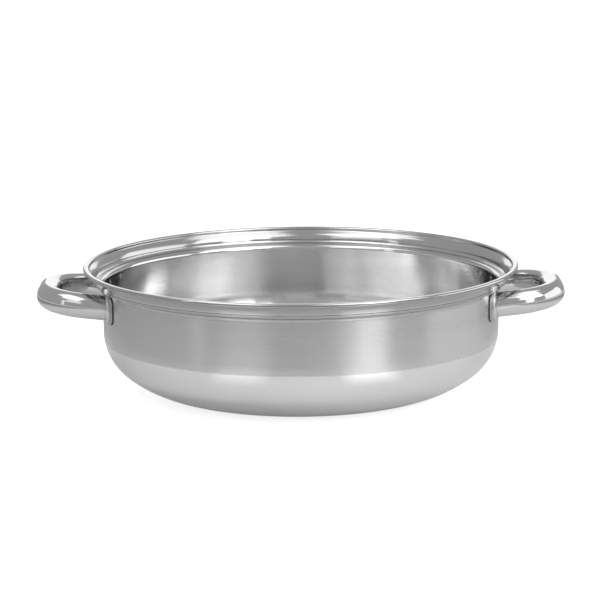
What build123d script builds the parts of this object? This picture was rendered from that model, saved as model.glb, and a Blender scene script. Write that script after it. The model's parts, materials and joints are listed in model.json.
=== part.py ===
"""Round stainless-steel water pan with two tubular side handles.

Millimetres, +Z up.  The origin is the centre of the underside, at the height of the resting ring.
+X runs through the two handles and -Y is the front.
"""
from build123d import *
import math
import os

# ---- driving dimensions: pan --------------------------------------------------------------------
RIM_RADIUS = 177.5              # outer edge of the rolled rim
HEIGHT = 105.0                  # resting ring to the top of the rim
SHEET = 1.0                     # thickness of the pan's sheet
WALL_RADIUS = 160.7             # inside of the upright wall

PANEL_RADIUS = 70.0             # pushed-up panel in the middle of the base
PANEL_RISE = 1.2
PANEL_STEP_WIDTH = 7.0
PANEL_STEP_FILLET = 9.5
CHORD_FOOT_RADIUS = 118.3       # where the lower corner's slanted chord would meet the base
CHORD_TOP_Z = 29.6              # where it would meet the wall
LOWER_SWEEP = 80.0              # inside radius of the gentle curve next to the base
UPPER_SWEEP = 41.4              # inside radius of the tighter curve next to the wall

LEDGE_DROP = 13.1               # rim top down to the ledge
LEDGE_SHOULDER = 4.0            # rounding from the wall onto the ledge
LEDGE_OUTER_RADIUS = 168.4
LEDGE_FILLET = 2.8
FLARE_BEND_RADIUS = 169.1       # corner where the collar stops rising and turns outwards
FLARE_BEND_DROP = 7.4           # rim top down to that corner
FLARE_ROUND = 9.0
BEAD_WIDTH = 4.7                # rolled and flattened rim
BEAD_HEIGHT = 3.5
BEAD_ROUND = 1.6
BEAD_NECK_DROP = 3.2            # rim top down to the neck where the flare meets the bead
BEAD_NECK_SET_OUT = 0.2
BEAD_NECK_FILLET = 1.5
BEAD_LIP_RADIUS = 175.0         # where the rolled edge ends, under the bead

# ---- driving dimensions: handles and feet -------------------------------------------------------
LEG_SPACING = 88.0              # centre to centre of a handle's two legs
LEG_ROOT = 159.3                # X of the tube's end on its centreline
LEG_DROP = 27.7                 # rim top down to the leg's centreline at its root
GRIP_REACH = 206.0              # X of the grip's centreline
GRIP_BEND = 34.0
GRIP_TILT = 6.0                 # degrees that a handle rises outwards
TUBE_WIDTH = 18.2
TUBE_DEPTH = 20.2
TUBE_WALL = 1.0

FOOT_WIDTH = 31.6
FOOT_DEPTH = 22.8
FOOT_CORNER = 6.0
FOOT_DROP = 28.6                # rim top down to the middle of the foot
FOOT_SHEET = 1.0
FOOT_FILLET = 2.3               # flare from the foot's flange to its collar
SEAM = 0.15                     # visible joint between foot and tube
SPIGOT_LENGTH = 8.0
SPIGOT_WALL = 1.0
SPIGOT_CLEARANCE = 0.1

WELD_DIAMETER = 4.2
WELD_PROUD = 0.25
WELD_OFFSET_Y = 12.5
WELD_OFFSET_Z = 7.9

# ---- derived dimensions -------------------------------------------------------------------------
LEDGE_Z = HEIGHT - LEDGE_DROP
WALL_OUTER = WALL_RADIUS + SHEET
LEG_Y = LEG_SPACING / 2
LEG_Z = HEIGHT - LEG_DROP
FOOT_Z = HEIGHT - FOOT_DROP
SPIGOT_WIDTH = TUBE_WIDTH - 2 * (TUBE_WALL + SPIGOT_CLEARANCE)
SPIGOT_DEPTH = TUBE_DEPTH - 2 * (TUBE_WALL + SPIGOT_CLEARANCE)

# ---- construction allowances --------------------------------------------------------------------
BLANK_SIZE = 44.0               # a foot's flange before it is trimmed to its outline
TRIM_SIZE = 30.0                # solids that trim the tubes and collars
RUN_IN = 8.0                    # extra length of a leg before its end is cut
SPIGOT_RUN_IN = 16.0            # extra length of a spigot before it is trimmed to the wall

SIDES = {"right": 1, "left": -1}
ENDS = {"front": -1, "rear": 1}


def leg_plane(side, end, reach):
    """Plane across a handle's leg, reach mm out from the leg's root, facing outwards."""
    tilt = math.radians(GRIP_TILT)
    outwards = Vector(side * math.cos(tilt), 0, math.sin(tilt))
    root = Vector(side * LEG_ROOT, end * LEG_Y, LEG_Z)
    return Plane(origin=root + outwards * reach, x_dir=(0, 1, 0), z_dir=outwards)


def root_plane(side, end, gap=0.0):
    """Upright plane on which a leg's tube ends, square to the pan's radius, gap mm further out."""
    root = Vector(side * LEG_ROOT, end * LEG_Y, LEG_Z)
    radial = Vector(root.X, root.Y, 0).normalized()
    return Plane(origin=root + radial * gap, z_dir=radial)


def export(builder, name):
    builder.part.label = name
    export_step(builder.part, f"parts/{name}.step")


def make_pan_shell():
    """One pressed sheet: base, round lower corner, wall, ledge, flared collar and rolled rim."""
    with BuildPart() as shell:
        with BuildSketch(Plane.XZ):
            with BuildLine():
                FilletPolyline(
                    (0, SHEET + PANEL_RISE),
                    (PANEL_RADIUS, SHEET + PANEL_RISE),
                    (PANEL_RADIUS + PANEL_STEP_WIDTH, SHEET),
                    (CHORD_FOOT_RADIUS, SHEET),
                    (WALL_RADIUS, CHORD_TOP_Z),
                    (WALL_RADIUS, LEDGE_Z),
                    (LEDGE_OUTER_RADIUS, LEDGE_Z),
                    (FLARE_BEND_RADIUS, HEIGHT - FLARE_BEND_DROP),
                    (RIM_RADIUS - BEAD_WIDTH + BEAD_NECK_SET_OUT, HEIGHT - BEAD_NECK_DROP),
                    (RIM_RADIUS - BEAD_WIDTH, HEIGHT),
                    (RIM_RADIUS, HEIGHT),
                    (RIM_RADIUS, HEIGHT - BEAD_HEIGHT),
                    (BEAD_LIP_RADIUS, HEIGHT - BEAD_HEIGHT),
                    radius=[
                        PANEL_STEP_FILLET,
                        PANEL_STEP_FILLET,
                        LOWER_SWEEP,
                        UPPER_SWEEP,
                        LEDGE_SHOULDER,
                        LEDGE_FILLET,
                        FLARE_ROUND,
                        BEAD_NECK_FILLET,
                        BEAD_ROUND,
                        BEAD_ROUND,
                        BEAD_ROUND,
                    ],
                )
                offset(amount=SHEET, side=Side.RIGHT)
            make_face()
        revolve(axis=Axis.Z)
    return shell


def make_handle_tube(side):
    """One bent oval tube, its two ends cut parallel to the wall behind their feet."""
    tilt = math.radians(GRIP_TILT)
    bend_plane = Plane(
        origin=(side * LEG_ROOT, 0, LEG_Z),
        x_dir=(side * math.cos(tilt), 0, math.sin(tilt)),
        z_dir=(-side * math.sin(tilt), 0, math.cos(tilt)),
    )
    reach = (GRIP_REACH - LEG_ROOT) / math.cos(tilt)
    with BuildPart() as tube:
        with BuildLine(bend_plane):
            FilletPolyline(
                (-RUN_IN, -LEG_Y),
                (reach, -LEG_Y),
                (reach, LEG_Y),
                (-RUN_IN, LEG_Y),
                radius=GRIP_BEND,
            )
        with BuildSketch(leg_plane(side, -side, -RUN_IN)):
            Ellipse(TUBE_WIDTH / 2, TUBE_DEPTH / 2)
            Ellipse(TUBE_WIDTH / 2 - TUBE_WALL, TUBE_DEPTH / 2 - TUBE_WALL, mode=Mode.SUBTRACT)
        sweep()
        for end in ENDS.values():
            with BuildSketch(root_plane(side, end, SEAM)):
                Rectangle(TRIM_SIZE, TRIM_SIZE)
            extrude(amount=-TRIM_SIZE, mode=Mode.SUBTRACT)
    return tube


def make_foot(side, end):
    """Stamped foot: a flange that follows the wall, a flared collar and a spigot in the tube."""
    with BuildPart() as foot:
        with BuildSketch(Plane.XY.offset(FOOT_Z - BLANK_SIZE / 2)):
            Circle(WALL_OUTER + FOOT_SHEET)
        extrude(amount=BLANK_SIZE)
        with BuildSketch(Plane.YZ):
            with Locations((end * LEG_Y, FOOT_Z)):
                Rectangle(BLANK_SIZE, BLANK_SIZE)
        extrude(amount=side * RIM_RADIUS, mode=Mode.INTERSECT)

        with BuildSketch(leg_plane(side, end, -RUN_IN)):
            Ellipse(TUBE_WIDTH / 2, TUBE_DEPTH / 2)
        extrude(amount=TRIM_SIZE)
        with BuildSketch(root_plane(side, end)):
            Rectangle(2 * TRIM_SIZE, 2 * TRIM_SIZE)
        extrude(amount=TRIM_SIZE, mode=Mode.SUBTRACT)
        flare_edge = foot.edges().filter_by(GeomType.BSPLINE).sort_by(Axis((0, 0, 0), (side, 0, 0)))[0]
        fillet(flare_edge, FOOT_FILLET)
        with BuildSketch(Plane.YZ):
            with Locations((end * LEG_Y, FOOT_Z)):
                RectangleRounded(FOOT_WIDTH, FOOT_DEPTH, FOOT_CORNER)
        extrude(amount=side * RIM_RADIUS, mode=Mode.INTERSECT)

        with BuildSketch(leg_plane(side, end, -SPIGOT_RUN_IN)):
            Ellipse(SPIGOT_WIDTH / 2, SPIGOT_DEPTH / 2)
        extrude(amount=SPIGOT_RUN_IN + SPIGOT_LENGTH)
        with BuildSketch(leg_plane(side, end, -SPIGOT_RUN_IN)):
            Ellipse(SPIGOT_WIDTH / 2 - SPIGOT_WALL, SPIGOT_DEPTH / 2 - SPIGOT_WALL)
        extrude(amount=2 * SPIGOT_RUN_IN, mode=Mode.SUBTRACT)
        with BuildSketch():
            Circle(WALL_OUTER)
        extrude(amount=HEIGHT, mode=Mode.SUBTRACT)
    return foot


def make_spot_welds():
    """Weld prints on the inside of the wall, one behind each corner of each foot."""
    with BuildPart() as welds:
        with BuildSketch(Plane.XY.offset(FOOT_Z - FOOT_DEPTH / 2)):
            Circle(WALL_RADIUS)
            Circle(WALL_RADIUS - WELD_PROUD, mode=Mode.SUBTRACT)
        extrude(amount=FOOT_DEPTH)
        with BuildSketch(Plane.YZ.offset(-RIM_RADIUS)):
            with Locations((-LEG_Y, FOOT_Z), (LEG_Y, FOOT_Z)):
                with GridLocations(2 * WELD_OFFSET_Y, 2 * WELD_OFFSET_Z, 2, 2):
                    Circle(WELD_DIAMETER / 2)
        extrude(amount=2 * RIM_RADIUS, mode=Mode.INTERSECT)
    return welds


os.makedirs("parts", exist_ok=True)
export(make_pan_shell(), "pan_shell")
export(make_spot_welds(), "spot_welds")
for side_name, side_sign in SIDES.items():
    export(make_handle_tube(side_sign), f"{side_name}_handle_tube")
    for end_name, end_sign in ENDS.items():
        export(make_foot(side_sign, end_sign), f"{side_name}_{end_name}_foot")
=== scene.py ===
import json
import math
import bpy
from mathutils import Matrix, Vector


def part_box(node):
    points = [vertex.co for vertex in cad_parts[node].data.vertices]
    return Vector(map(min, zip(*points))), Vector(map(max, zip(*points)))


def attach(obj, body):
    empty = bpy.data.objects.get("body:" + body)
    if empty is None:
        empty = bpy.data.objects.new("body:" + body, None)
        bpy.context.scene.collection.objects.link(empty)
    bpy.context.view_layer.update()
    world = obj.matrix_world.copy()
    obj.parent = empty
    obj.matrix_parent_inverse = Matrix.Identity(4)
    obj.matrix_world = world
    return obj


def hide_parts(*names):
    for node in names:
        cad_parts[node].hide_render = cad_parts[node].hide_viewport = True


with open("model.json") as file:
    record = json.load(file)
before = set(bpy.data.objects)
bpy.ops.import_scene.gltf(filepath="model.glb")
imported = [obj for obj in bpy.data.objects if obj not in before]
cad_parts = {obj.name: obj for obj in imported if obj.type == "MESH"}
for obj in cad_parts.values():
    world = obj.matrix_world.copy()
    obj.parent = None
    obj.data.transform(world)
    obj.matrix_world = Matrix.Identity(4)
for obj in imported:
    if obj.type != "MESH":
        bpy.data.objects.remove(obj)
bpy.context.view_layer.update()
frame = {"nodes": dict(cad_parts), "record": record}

MOUNTS = {mount["name"]: mount for mount in frame["record"]["mounts"]}

# ---- the pan's sheet, in metres ---------------------------------------------------------------------
SHEET = 0.0010
RIM_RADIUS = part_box("pan_shell")[1].x
RIM_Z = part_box("pan_shell")[1].z
WALL_RADIUS = MOUNTS["insert_wall"]["dims"]["r_mm"] / 1000
LEDGE_Z = MOUNTS["insert_ledge"]["pos_m"][2]
PANEL_RADIUS = 0.0700
PANEL_RISE = 0.0012
PANEL_STEP_WIDTH = 0.0070
PANEL_STEP_FILLET = 0.0095
CHORD_FOOT_RADIUS = 0.1183
CHORD_TOP_Z = 0.0296
LOWER_SWEEP = 0.0800
UPPER_SWEEP = 0.0414
LEDGE_SHOULDER = 0.0040
LEDGE_OUTER_RADIUS = 0.1684
LEDGE_FILLET = 0.0028
FLARE_BEND_RADIUS = 0.1691
FLARE_BEND_DROP = 0.0074
FLARE_ROUND = 0.0090
BEAD_WIDTH = 0.0047
BEAD_HEIGHT = 0.0035
BEAD_ROUND = 0.0016
BEAD_NECK_DROP = 0.0032
BEAD_NECK_SET_OUT = 0.0002
BEAD_NECK_FILLET = 0.0015
BEAD_LIP_RADIUS = 0.1750

# ---- the handles' tubes -----------------------------------------------------------------------------
LEG_Y = 0.0440
LEG_ROOT = 0.1593
LEG_Z = RIM_Z - 0.0277
GRIP_REACH = 0.2060
GRIP_BEND = 0.0340
GRIP_TILT = math.radians(6.0)
TUBE_WIDTH = 0.0182
TUBE_DEPTH = 0.0202
TUBE_WALL = 0.0010
SEAM = 0.00015

# ---- fineness of the meshes -------------------------------------------------------------------------
ARC_STEP = math.radians(3.0)
LEAST_ARC_STEPS = 4
SUPPORT = 0.0005                # loops beside each rounding hold the shading of the straight runs
SHARP_ANGLE = math.radians(50.0)
LATHE_SEGMENTS = 384
TUBE_SEGMENTS = 72
LEG_STATIONS = 5
BEND_STATIONS = 40

# ---- finishes, with lengths in metres ---------------------------------------------------------------
BRUSHED_ROUGHNESS = 0.29
INSIDE_ROUGHNESS = 0.15
COLLAR_ROUGHNESS = 0.15
TUBE_ROUGHNESS = 0.11
BRUSHED_STRETCH = 0.85          # how far the brushing draws highlights out
SHELL_TONES = (0.585, 0.625)
TUBE_TONES = (0.64, 0.67)
FOOT_TONES = (0.60, 0.65)
INSIDE_BRIGHTENING = 0.14       # stands in for light that these softboxes do not bring inside
UNDERSIDE_PAINTED_SHADE = 0.22        # painted shade: darkens the collar's underside, which this floor lights too strongly from below
FINE_LINES = (0.070, 0.0006, 0.0)       # length and pitch of the brushing's lines, shift of their noise
COARSE_LINES = (0.120, 0.0020, 3.7)
BROAD_BANDS = (0.400, 0.0110, 8.1)
GRAIN_RANGE = (0.25, 0.75)
NOISE_RANGE = (0.3, 0.7)        # most of a noise texture's values lie between these
BRUSH_DEPTH = 1e-6
WAVE_DEPTH = 4e-5
RIPPLE_DEPTH = 6e-5
FOOT_HAZE_DEPTH = 1.5e-5
WELD_PIT_DEPTH = 2e-5
STRAW = (0.55, 0.47, 0.36)
BLUE = (0.40, 0.42, 0.50)
WELD_EDGE = (0.30, 0.28, 0.27)
WELD_MIDDLE = (0.72, 0.71, 0.70)
OUTSIDE_RADIUS = WALL_RADIUS + SHEET
LEG_ROOT_RADIUS = math.hypot(LEG_ROOT, LEG_Y)
PIT_DARKNESS = 0.22
PITS = ((51.5, 0.0500, 0.0009), (50.0, 0.0470, 0.0007), (-24.0, 0.0330, 0.0006), (-118.0, 0.0620, 0.0008),
        (160.0, 0.0410, 0.0007))    # azimuth in degrees, height and radius of each small mark

# ---- camera -----------------------------------------------------------------------------------------
CAMERA_DISTANCE = 2.4
CAMERA_ELEVATION = math.radians(10.37)
CAMERA_ROLL = math.radians(-0.49)
CAMERA_LENS = 176.2
CAMERA_SENSOR = 36.0
AIM_DOWN = 0.0307               # how far below the rim's centre the camera aims, across its view
AIM_LEFT = 0.0007
CAMERA_RANGE = 50.0


class Graph:
    """A material's node tree, with its Principled shader and short ways to add nodes."""

    def __init__(self, name):
        self.material = bpy.data.materials.new(name)
        self.material.use_nodes = True
        self.tree = self.material.node_tree
        self.shader = self.tree.nodes["Principled BSDF"]

    def add(self, kind, inputs=None, **settings):
        node = self.tree.nodes.new(kind)
        for key, value in settings.items():
            setattr(node, key, value)
        for key, value in (inputs or {}).items():
            self.feed(node.inputs[key], value)
        return node

    def feed(self, socket, value):
        if isinstance(value, bpy.types.NodeSocket):
            self.tree.links.new(value, socket)
        else:
            socket.default_value = value

    def maths(self, operation, first, second=0.0, third=0.0):
        return self.add("ShaderNodeMath", {0: first, 1: second, 2: third}, operation=operation).outputs[0]

    def plus(self, first, second):
        return self.maths("ADD", first, second)

    def minus(self, first, second):
        return self.maths("SUBTRACT", first, second)

    def times(self, first, second):
        return self.maths("MULTIPLY", first, second)

    def spread(self, value, from_low, from_high, to_low=0.0, to_high=1.0):
        inputs = {1: from_low, 2: from_high, 3: to_low, 4: to_high, 0: value}
        return self.add("ShaderNodeMapRange", inputs, clamp=True).outputs[0]

    def vary(self, noise, low, high):
        return self.spread(noise, *NOISE_RANGE, low, high)

    def blend(self, amount, first, second):
        return self.add("ShaderNodeMix", {0: amount, 2: first, 3: second}).outputs[0]

    def tint(self, amount, colour, other):
        inputs = {0: amount, 6: colour, 7: other}
        return self.add("ShaderNodeMix", inputs, data_type="RGBA").outputs[2]

    def noise(self, vector, scale, detail, roughness):
        inputs = {"Vector": vector, "Scale": scale, "Detail": detail, "Roughness": roughness}
        return self.add("ShaderNodeTexNoise", inputs).outputs["Fac"]

    def bump(self, height, depth, **under):
        inputs = {"Strength": 1.0, "Distance": depth, "Height": height, **under}
        return self.add("ShaderNodeBump", inputs).outputs[0]

    def shade(self, tone, red, blue):
        """A grey of that tone, leaning a little towards red or blue."""
        inputs = {0: self.times(tone, red), 1: tone, 2: self.times(tone, blue)}
        return self.add("ShaderNodeCombineColor", inputs).outputs[0]

    def metal(self, colour, rough, normal):
        self.feed(self.shader.inputs["Base Color"], colour)
        self.feed(self.shader.inputs["Metallic"], 1.0)
        self.feed(self.shader.inputs["Roughness"], rough)
        self.feed(self.shader.inputs["Normal"], normal)
        return self.material


# ---- meshes -----------------------------------------------------------------------------------------
def offset_corners(corners, distance):
    """The corners (across, up, fillet) of the outline that runs that far to the right of another."""
    points = [Vector(corner[:2]) for corner in corners]
    headings = [(b - a).normalized() for a, b in zip(points, points[1:])]
    normals = [Vector((heading.y, -heading.x)) for heading in headings]
    moved = [(*(points[0] + normals[0] * distance), 0.0)]
    for index in range(1, len(points) - 1):
        before, after = normals[index - 1], normals[index]
        shift = (before + after) / (1.0 + before.dot(after)) * distance
        turns_left = headings[index - 1].cross(headings[index]) > 0
        fillet = corners[index][2] + (distance if turns_left else -distance)
        moved.append((*(points[index] + shift), fillet))
    moved.append((*(points[-1] + normals[-1] * distance), 0.0))
    return moved


def rounded_outline(corners):
    """Points along straight runs joined by fillets, with a support point beside each fillet."""
    points = [Vector(corners[0][:2])]
    for before, corner, after in zip(corners, corners[1:], corners[2:]):
        here = Vector(corner[:2])
        back = (Vector(before[:2]) - here).normalized()
        ahead = (Vector(after[:2]) - here).normalized()
        turn = math.pi - back.angle(ahead)
        reach = corner[2] * math.tan(turn / 2)
        centre = here + (back + ahead).normalized() * corner[2] / math.cos(turn / 2)
        start = here + back * reach
        spoke = start - centre
        sense = 1 if back.cross(ahead) < 0 else -1
        count = max(LEAST_ARC_STEPS, math.ceil(turn / ARC_STEP))
        points.append(start + back * min(SUPPORT, reach))
        for step in range(count + 1):
            angle = sense * turn * step / count
            turned = Vector((spoke.x * math.cos(angle) - spoke.y * math.sin(angle),
                             spoke.x * math.sin(angle) + spoke.y * math.cos(angle)))
            points.append(centre + turned)
        points.append(here + ahead * (reach + min(SUPPORT, reach)))
    points.append(Vector(corners[-1][:2]))
    return points


def new_piece(name, vertices, faces, material):
    mesh = bpy.data.meshes.new(name)
    mesh.from_pydata(vertices, [], faces)
    mesh.validate()
    mesh.materials.append(material)
    mesh.shade_smooth()
    mesh.set_sharp_from_angle(angle=SHARP_ANGLE)
    piece = bpy.data.objects.new(name, mesh)
    bpy.context.scene.collection.objects.link(piece)
    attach(piece, "root")
    return piece


def lathe(outline, segments):
    """Vertices and faces of an outline turned about Z; its first and last points lie on the axis."""
    vertices = [(0.0, 0.0, outline[0].y), (0.0, 0.0, outline[-1].y)]
    faces = []
    rings = outline[1:-1]
    for point in rings:
        for segment in range(segments):
            angle = 2 * math.pi * segment / segments
            vertices.append((point.x * math.cos(angle), point.x * math.sin(angle), point.y))
    for segment in range(segments):
        following = (segment + 1) % segments
        faces.append((0, 2 + segment, 2 + following))
        last = 2 + (len(rings) - 1) * segments
        faces.append((1, last + following, last + segment))
        for ring in range(len(rings) - 1):
            low = 2 + ring * segments
            high = low + segments
            faces.append((low + segment, high + segment, high + following, low + following))
    return vertices, faces


def make_pan(material):
    """The pressed pan as one turned sheet, both skins, from the axis out to the rolled rim and back."""
    inside = [
        (0.0, SHEET + PANEL_RISE, 0.0),
        (PANEL_RADIUS, SHEET + PANEL_RISE, PANEL_STEP_FILLET),
        (PANEL_RADIUS + PANEL_STEP_WIDTH, SHEET, PANEL_STEP_FILLET),
        (CHORD_FOOT_RADIUS, SHEET, LOWER_SWEEP),
        (WALL_RADIUS, CHORD_TOP_Z, UPPER_SWEEP),
        (WALL_RADIUS, LEDGE_Z, LEDGE_SHOULDER),
        (LEDGE_OUTER_RADIUS, LEDGE_Z, LEDGE_FILLET),
        (FLARE_BEND_RADIUS, RIM_Z - FLARE_BEND_DROP, FLARE_ROUND),
        (RIM_RADIUS - BEAD_WIDTH + BEAD_NECK_SET_OUT, RIM_Z - BEAD_NECK_DROP, BEAD_NECK_FILLET),
        (RIM_RADIUS - BEAD_WIDTH, RIM_Z, BEAD_ROUND),
        (RIM_RADIUS, RIM_Z, BEAD_ROUND),
        (RIM_RADIUS, RIM_Z - BEAD_HEIGHT, BEAD_ROUND),
        (BEAD_LIP_RADIUS, RIM_Z - BEAD_HEIGHT, 0.0),
    ]
    outside = offset_corners(inside, SHEET)
    outline = rounded_outline(inside) + rounded_outline(outside)[::-1]
    vertices, faces = lathe(outline, LATHE_SEGMENTS)
    pan = new_piece("pan", vertices, faces, material)
    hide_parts("pan_shell")


def tube_stations(side):
    """Centre, heading and sideways direction along a handle's bent centreline, front leg first."""
    outwards = Vector((side * math.cos(GRIP_TILT), 0, math.sin(GRIP_TILT)))
    along = Vector((0, 1, 0))
    root = Vector((side * LEG_ROOT, 0, LEG_Z))
    reach = (GRIP_REACH - LEG_ROOT) / math.cos(GRIP_TILT)
    bend_start = reach - GRIP_BEND
    stations = []
    for step in range(LEG_STATIONS):
        centre = root + outwards * (bend_start * step / LEG_STATIONS) - along * LEG_Y
        stations.append((centre, outwards.copy(), along.copy()))
    for step in range(BEND_STATIONS + 1):
        angle = math.pi / 2 * step / BEND_STATIONS
        pivot = root + outwards * bend_start - along * (LEG_Y - GRIP_BEND)
        inwards = along * math.cos(angle) - outwards * math.sin(angle)
        heading = outwards * math.cos(angle) + along * math.sin(angle)
        stations.append((pivot - inwards * GRIP_BEND, heading, inwards))
    mirror = [(Vector((centre.x, -centre.y, centre.z)),
               Vector((-heading.x, heading.y, -heading.z)),
               Vector((inwards.x, -inwards.y, inwards.z)))
              for centre, heading, inwards in reversed(stations)]
    return stations + mirror


def tube_ring(station, side, end, width, depth):
    """Oval ring of points across the tube; at a leg's root it is slid onto the plane of the cut."""
    centre, heading, inwards = station
    upward = Vector((-side * math.sin(GRIP_TILT), 0, math.cos(GRIP_TILT)))
    ring = []
    for segment in range(TUBE_SEGMENTS):
        angle = 2 * math.pi * segment / TUBE_SEGMENTS
        point = centre + inwards * (width / 2 * math.cos(angle)) + upward * (depth / 2 * math.sin(angle))
        if end:
            root = Vector((side * LEG_ROOT, end * LEG_Y, LEG_Z))
            facing = Vector((root.x, root.y, 0)).normalized()
            gap = (root + facing * SEAM - point).dot(facing)
            point = point + heading * (gap / heading.dot(facing))
        ring.append(point)
    return ring


def make_handle(name, side, material):
    """A bent oval tube with both its skins and its two cut ends."""
    stations = tube_stations(side)
    ends = {0: -1, len(stations) - 1: 1}
    sizes = ((TUBE_WIDTH, TUBE_DEPTH), (TUBE_WIDTH - 2 * TUBE_WALL, TUBE_DEPTH - 2 * TUBE_WALL))
    rings = []
    for width, depth in sizes:
        skin = [tube_ring(station, side, ends.get(index, 0), width, depth)
                for index, station in enumerate(stations)]
        rings.append(skin)
    loop = rings[0] + rings[1][::-1]
    vertices = [point for ring in loop for point in ring]
    faces = []
    for index in range(len(loop)):
        low = index * TUBE_SEGMENTS
        high = (index + 1) % len(loop) * TUBE_SEGMENTS
        for segment in range(TUBE_SEGMENTS):
            following = (segment + 1) % TUBE_SEGMENTS
            face = (low + segment, low + following, high + following, high + segment)
            faces.append(face if side > 0 else face[::-1])
    handle = new_piece(name, vertices, faces, material)
    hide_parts(f"{name.split('_')[0]}_handle_tube")


# ---- materials --------------------------------------------------------------------------------------
def polar(graph):
    """Object position, its three parts and its distance from the pan's axis."""
    place = graph.add("ShaderNodeTexCoord").outputs["Object"]
    parts = graph.add("ShaderNodeSeparateXYZ", {0: place}).outputs
    flat = graph.add("ShaderNodeCombineXYZ", {0: parts[0], 1: parts[1]}).outputs[0]
    radius = graph.add("ShaderNodeVectorMath", {0: flat}, operation="LENGTH").outputs["Value"]
    return place, parts, radius


def brush_lines(graph, parts, radius, length, pitch, shift):
    """Noise drawn out round the pan: lines of about that length and pitch, in metres."""
    across = graph.times(graph.plus(parts[2], radius), 1.0 / pitch)
    drawn = graph.add("ShaderNodeCombineXYZ", {0: graph.maths("MULTIPLY_ADD", parts[0], 1.0 / length, shift),
                                               1: graph.times(parts[1], 1.0 / length),
                                               2: across}).outputs[0]
    return graph.noise(drawn, 1.0, 2.0, 0.6)


def near_spot(graph, place, spot, inner, outer):
    """One at a point and out to the inner radius, falling to zero at the outer."""
    offset = graph.add("ShaderNodeVectorMath", {0: place, 1: spot}, operation="DISTANCE").outputs["Value"]
    return graph.spread(offset, inner, outer, 1.0, 0.0)


def wall_point(azimuth, height, radius):
    """Point on the pan, azimuth degrees round from the front towards the right."""
    angle = math.radians(azimuth)
    return Vector((math.sin(angle) * radius, -math.cos(angle) * radius, height))


def weld_heat(graph, place, colour):
    """Straw and blue of the welds' heat, wiped almost clean."""
    for side in (-1, 1):
        for end in (-1, 1):
            heart = Vector((side * math.sqrt(WALL_RADIUS ** 2 - LEG_Y ** 2), end * LEG_Y, LEG_Z))
            straw = near_spot(graph, place, heart, 0.012, 0.022)
            blue = near_spot(graph, place, heart, 0.007, 0.013)
            colour = graph.tint(graph.times(straw, 0.16), colour, (*STRAW, 1.0))
            colour = graph.tint(graph.times(blue, 0.14), colour, (*BLUE, 1.0))
    return colour


def shell_steel():
    """Brushed stainless sheet: lines round the pan, polished collar and rim, soft smudges and wear; painted
    shade under the collar, painted light inside.
    """
    graph = Graph("shell_steel")
    place, parts, radius = polar(graph)
    fine = brush_lines(graph, parts, radius, *FINE_LINES)
    coarse = brush_lines(graph, parts, radius, *COARSE_LINES)
    bands = brush_lines(graph, parts, radius, *BROAD_BANDS)
    grain = graph.plus(graph.times(fine, 0.55), graph.times(coarse, 0.45))
    cloud = graph.noise(place, 17.0, 3.0, 0.55)
    smear = graph.spread(graph.noise(place, 48.0, 4.0, 0.6), 0.56, 0.72)
    # masks: the collar and rim, their underside, the inner skin, and the ring that the pan stands on
    collar = graph.spread(parts[2], LEDGE_Z - 0.0060, LEDGE_Z - 0.0015)
    normal = graph.add("ShaderNodeTexCoord").outputs["Normal"]
    upwards = graph.add("ShaderNodeSeparateXYZ", {0: normal}).outputs[2]
    underside = graph.times(collar, graph.spread(upwards, -0.05, -0.35))
    inside = graph.spread(radius, WALL_RADIUS + 0.4 * SHEET, WALL_RADIUS + 0.6 * SHEET, 1.0, 0.0)
    stands = graph.times(graph.spread(parts[2], 0.0008, 0.0002),
                         graph.spread(radius, PANEL_RADIUS, PANEL_RADIUS + 0.008))
    scuffs = graph.spread(graph.noise(place, 420.0, 5.0, 0.7), 0.50, 0.62)
    rubbed = graph.times(stands, scuffs)

    satin = graph.spread(grain, *GRAIN_RANGE, BRUSHED_ROUGHNESS - 0.03, BRUSHED_ROUGHNESS + 0.03)
    satin = graph.plus(satin, graph.vary(bands, -0.015, 0.015))
    satin = graph.plus(satin, graph.vary(cloud, -0.015, 0.015))
    gloss = graph.vary(grain, COLLAR_ROUGHNESS - 0.02, COLLAR_ROUGHNESS + 0.03)
    rough = graph.blend(collar, satin, gloss)
    rough = graph.minus(rough, graph.times(inside, BRUSHED_ROUGHNESS - INSIDE_ROUGHNESS))
    rough = graph.plus(rough, graph.times(smear, 0.012))
    rough = graph.plus(rough, graph.times(rubbed, 0.16))

    tone = graph.vary(graph.noise(place, 9.0, 2.0, 0.5), *SHELL_TONES)
    tone = graph.plus(tone, graph.spread(grain, *GRAIN_RANGE, -0.009, 0.009))
    tone = graph.plus(tone, graph.times(inside, INSIDE_BRIGHTENING))
    tone = graph.minus(tone, graph.times(rubbed, 0.10))
    tone = graph.minus(tone, graph.times(smear, 0.006))
    # painted shade: the collar's underside is darkened, as this floor lights it too strongly from below
    tone = graph.minus(tone, graph.times(underside, UNDERSIDE_PAINTED_SHADE))
    for azimuth, height, size in PITS:
        pit = near_spot(graph, place, wall_point(azimuth, height, OUTSIDE_RADIUS), size / 2, size)
        tone = graph.minus(tone, graph.times(pit, PIT_DARKNESS))
    colour = weld_heat(graph, place, graph.shade(tone, 1.006, 1.002))

    relief = graph.plus(graph.times(fine, 0.35), graph.times(coarse, 0.5))
    waves = graph.bump(cloud, WAVE_DEPTH, Normal=graph.bump(relief, BRUSH_DEPTH))
    tangent = graph.add("ShaderNodeTangent", direction_type="RADIAL", axis="Z").outputs[0]
    graph.feed(graph.shader.inputs["Anisotropic"], BRUSHED_STRETCH)
    graph.feed(graph.shader.inputs["Anisotropic Rotation"], 0.25)
    graph.feed(graph.shader.inputs["Tangent"], tangent)
    return graph.metal(colour, rough, waves)


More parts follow.
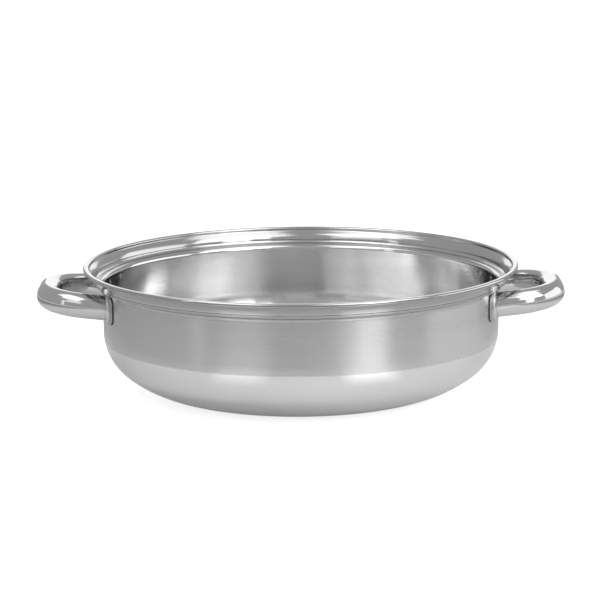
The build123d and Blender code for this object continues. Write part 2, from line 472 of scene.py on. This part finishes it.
def tube_steel():
    """Bright polished tube: faint buffing haze, ripples from the bending, satin where it was welded."""
    graph = Graph("tube_steel")
    place, _, radius = polar(graph)
    haze = graph.noise(place, 55.0, 4.0, 0.6)
    hairs = graph.add("ShaderNodeMapping", {"Vector": place, "Scale": (900.0, 60.0, 900.0)}).outputs[0]
    buff = graph.noise(hairs, 1.0, 3.0, 0.6)
    weld = graph.spread(radius, LEG_ROOT_RADIUS + 0.0010, LEG_ROOT_RADIUS + 0.0055, 1.0, 0.0)
    rough = graph.vary(haze, TUBE_ROUGHNESS - 0.02, TUBE_ROUGHNESS + 0.03)
    rough = graph.plus(rough, graph.vary(buff, -0.01, 0.02))
    rough = graph.plus(rough, graph.times(weld, 0.12))
    tone = graph.minus(graph.vary(haze, *TUBE_TONES), graph.times(weld, 0.04))
    ripples = graph.noise(place, 85.0, 1.0, 0.4)
    height = graph.plus(ripples, graph.times(buff, 0.012))
    return graph.metal(graph.shade(tone, 1.010, 1.0), rough, graph.bump(height, RIPPLE_DEPTH))


def foot_steel():
    """Pressed satin caps, with a dark line of painted shade where the edge meets the pan."""
    graph = Graph("foot_steel")
    place, _, radius = polar(graph)
    haze = graph.noise(place, 160.0, 4.0, 0.65)
    # painted shade: the edge where the cap meets the pan is darkened, standing for the shadow in the gap
    # there
    crease_shade = graph.spread(radius, OUTSIDE_RADIUS + 0.0005, OUTSIDE_RADIUS + 0.0011, 1.0, 0.0)
    unshaded = graph.minus(1.0, graph.times(crease_shade, 0.88))
    tone = graph.times(graph.vary(haze, *FOOT_TONES), unshaded)
    rough = graph.plus(graph.vary(haze, 0.26, 0.34), graph.times(crease_shade, 0.4))
    return graph.metal(graph.shade(tone, 1.010, 1.0), rough, graph.bump(haze, FOOT_HAZE_DEPTH))


def weld_steel():
    """Prints of the spot welds: burnished in the middle, blued and pitted towards the edge."""
    graph = Graph("weld_print")
    place, _, radius = polar(graph)
    mottle = graph.noise(place, 900.0, 4.0, 0.7)
    proud = graph.spread(radius, WALL_RADIUS - 0.00024, WALL_RADIUS - 0.00012, 1.0, 0.0)
    colour = graph.tint(proud, (*WELD_EDGE, 1.0), (*WELD_MIDDLE, 1.0))
    return graph.metal(colour, graph.vary(mottle, 0.18, 0.38), graph.bump(mottle, WELD_PIT_DEPTH))


def paint(node, material):
    for slot in frame["nodes"][node].material_slots:
        slot.material = material


def make_object():
    make_pan(shell_steel())
    tube, foot = tube_steel(), foot_steel()
    for side_name, side in (("left", -1), ("right", 1)):
        make_handle(f"{side_name}_handle", side, tube)
        for end in ("front", "rear"):
            paint(f"{side_name}_{end}_foot", foot)
    paint("spot_welds", weld_steel())


make_object()


# ---- stage ------------------------------------------------------------------------------------------
FLOOR_RADIUS = 9.0
TABLE_EDGE = (0.32, 0.46)       # radii over which the lit white table round the pan ends in the steel
TABLE_GREY = 0.85
# painted shade: the floor beyond the table, seen in the steel, is darker, as of a darker room
ROOM_PAINTED_SHADE = 0.33
SEEN_GREY = 0.80
TABLE_GLOW = 0.03
TABLE_GLEAMS = ((27, 0.6), (-24, 0.38))     # where the strip lights gleam on the table, and how strongly
GLEAM_START = (0.18, 0.23)
GLEAM_HALF_WIDTHS = (math.radians(13), math.radians(5))
NEAR_RADII = (0.17, 0.25)
NEAR_GLOW = 0.08                # makes up for the shade right beside the pan
RING_START = (0.58, 0.70)       # from here painted light makes the floor pale again
RING_END = (0.74, 0.80)
RING_PAINTED_LIGHT = 0.85                # painted light, as a share of the table's step above the room
RING_GLOW = 0.22
ROOM_LIGHT = 0.43
FLOOR_LIFT = 0.74               # what the camera sees is lifted to a plain pale ground
TALLEST_UPRIGHT = 1.0           # softboxes whose middle is above this lean over the pan

# name, degrees round from the front to the right, distance, height of its middle, width, height, radiance
SOFTBOXES = (
    ("right_strip", 39, 1.6, 0.50, 0.48, 0.96, 1.5),
    ("left_strip", -58, 1.6, 0.50, 0.16, 0.96, 0.75),
    ("right_low", 45, 1.3, 0.92, 1.25, 0.55, 2.0),
    ("left_low", -37, 1.3, 0.92, 0.80, 0.55, 0.7),
    ("right_high", 45, 0.9, 1.31, 1.25, 0.55, 1.25),
    ("left_high", -52, 0.9, 1.31, 0.90, 0.55, 1.4),
    ("right_side", 100, 1.6, 0.50, 1.60, 0.96, 1.0),
    ("rear", 180, 1.6, 0.50, 1.00, 0.96, 0.8),
    ("top_left", -70, 0.7, 1.50, 1.20, 0.70, 1.15),
    ("top_right", 75, 0.5, 1.50, 1.00, 0.60, 1.1),
)


def table_glow(graph, place, distance):
    """Light of the table itself: even, with gleams towards the strip lights."""
    glow = TABLE_GLOW
    for azimuth, amount in TABLE_GLEAMS:
        heading = graph.add("ShaderNodeVectorMath", {0: place, 1: wall_point(azimuth, 0.0, 1.0)},
                            operation="DOT_PRODUCT").outputs["Value"]
        outer, inner = (math.cos(width) for width in GLEAM_HALF_WIDTHS)
        lobe = graph.spread(graph.maths("DIVIDE", heading, distance), outer, inner, 0.0, amount)
        glow = graph.plus(lobe, glow)
    return graph.blend(graph.spread(distance, *GLEAM_START), TABLE_GLOW, glow)


def make_floor():
    """Matt ground. Seen in the steel it is a white table with painted shade beyond, as of a darker room, and
    a pale ring of painted light; seen directly, plain and pale.
    """
    bpy.ops.mesh.primitive_circle_add(vertices=96, radius=FLOOR_RADIUS, fill_type="TRIFAN",
                                      location=(0, 0, 0))
    floor = bpy.context.object
    floor.name = "floor"
    graph = Graph("floor_paper")
    place, _, distance = polar(graph)
    seen = graph.add("ShaderNodeLightPath").outputs["Is Camera Ray"]
    table = graph.spread(distance, *TABLE_EDGE, 1.0, 0.0)
    beyond = graph.spread(distance, *RING_START)
    # painted light and shade seen in the steel: the white table, the darker room beyond, the pale ring
    # further out
    lit = graph.maths("MAXIMUM", table, graph.times(beyond, RING_PAINTED_LIGHT))
    grey = graph.blend(seen, graph.spread(lit, 0.0, 1.0, ROOM_PAINTED_SHADE, TABLE_GREY), SEEN_GREY)
    near = graph.spread(distance, *NEAR_RADII, NEAR_GLOW, 0.0)
    ring = graph.times(beyond, graph.spread(distance, *RING_END, 1.0, 0.0))
    glow = graph.plus(graph.times(table, table_glow(graph, place, distance)), near)
    glow = graph.plus(glow, graph.times(ring, RING_GLOW))
    graph.feed(graph.shader.inputs["Base Color"], graph.shade(grey, 1.0, 1.0))
    graph.feed(graph.shader.inputs["Roughness"], 0.8)
    graph.feed(graph.shader.inputs["Specular IOR Level"], 0.1)
    graph.feed(graph.shader.inputs["Emission Color"], (1.0, 1.0, 1.0, 1.0))
    graph.feed(graph.shader.inputs["Emission Strength"], graph.blend(seen, glow, FLOOR_LIFT))
    floor.data.materials.append(graph.material)


def make_softbox(name, azimuth, distance, height, width, tall, radiance):
    """Softbox facing the pan; a low one stands upright, a high one leans over it."""
    angle = math.radians(azimuth)
    spot = Vector((math.sin(angle) * distance, -math.cos(angle) * distance, height))
    data = bpy.data.lights.new(name, "AREA")
    data.shape = "RECTANGLE"
    data.size = width
    data.size_y = tall
    data.energy = radiance * width * tall * math.pi
    light = bpy.data.objects.new(name, data)
    light.location = spot
    light.rotation_mode = "QUATERNION"
    aim = Vector((0, 0, height if height < TALLEST_UPRIGHT else RIM_Z / 2))
    light.rotation_quaternion = (aim - spot).to_track_quat("-Z", "Y")
    light.visible_camera = False
    bpy.context.scene.collection.objects.link(light)


def make_world():
    """Even room light; the camera sees a plain pale backdrop."""
    world = bpy.data.worlds.new("studio")
    world.use_nodes = True
    tree = world.node_tree
    background = tree.nodes["Background"]
    path = tree.nodes.new("ShaderNodeLightPath")
    pick = tree.nodes.new("ShaderNodeMix")
    tree.links.new(path.outputs["Is Camera Ray"], pick.inputs[0])
    pick.inputs[2].default_value = ROOM_LIGHT
    pick.inputs[3].default_value = 1.0
    tree.links.new(pick.outputs[0], background.inputs["Strength"])
    background.inputs["Color"].default_value = (1.0, 1.0, 1.0, 1.0)
    bpy.context.scene.world = world


make_floor()
make_world()
for softbox in SOFTBOXES:
    make_softbox(*softbox)


def make_camera():
    """Camera above the front of the pan, rolled a little, aimed just under the rim's middle."""
    across = Vector((1, 0, 0))
    forward = Vector((0, math.cos(CAMERA_ELEVATION), -math.sin(CAMERA_ELEVATION)))
    upward = Vector((0, math.sin(CAMERA_ELEVATION), math.cos(CAMERA_ELEVATION)))
    rim_centre = Vector((0, 0, RIM_Z))
    spot = rim_centre - forward * CAMERA_DISTANCE
    aim = rim_centre - upward * AIM_DOWN - across * AIM_LEFT
    data = bpy.data.cameras.new("photo_camera")
    data.lens = CAMERA_LENS
    data.sensor_width = CAMERA_SENSOR
    data.clip_end = CAMERA_RANGE
    camera = bpy.data.objects.new("photo_camera", data)
    camera.location = spot
    camera.rotation_mode = "QUATERNION"
    look = (aim - spot).to_track_quat("-Z", "Y")
    camera.rotation_quaternion = look @ Matrix.Rotation(CAMERA_ROLL, 3, "Z").to_quaternion()
    bpy.context.scene.collection.objects.link(camera)
    bpy.context.scene.camera = camera


make_camera()
bpy.context.scene.view_settings.view_transform = "Standard"
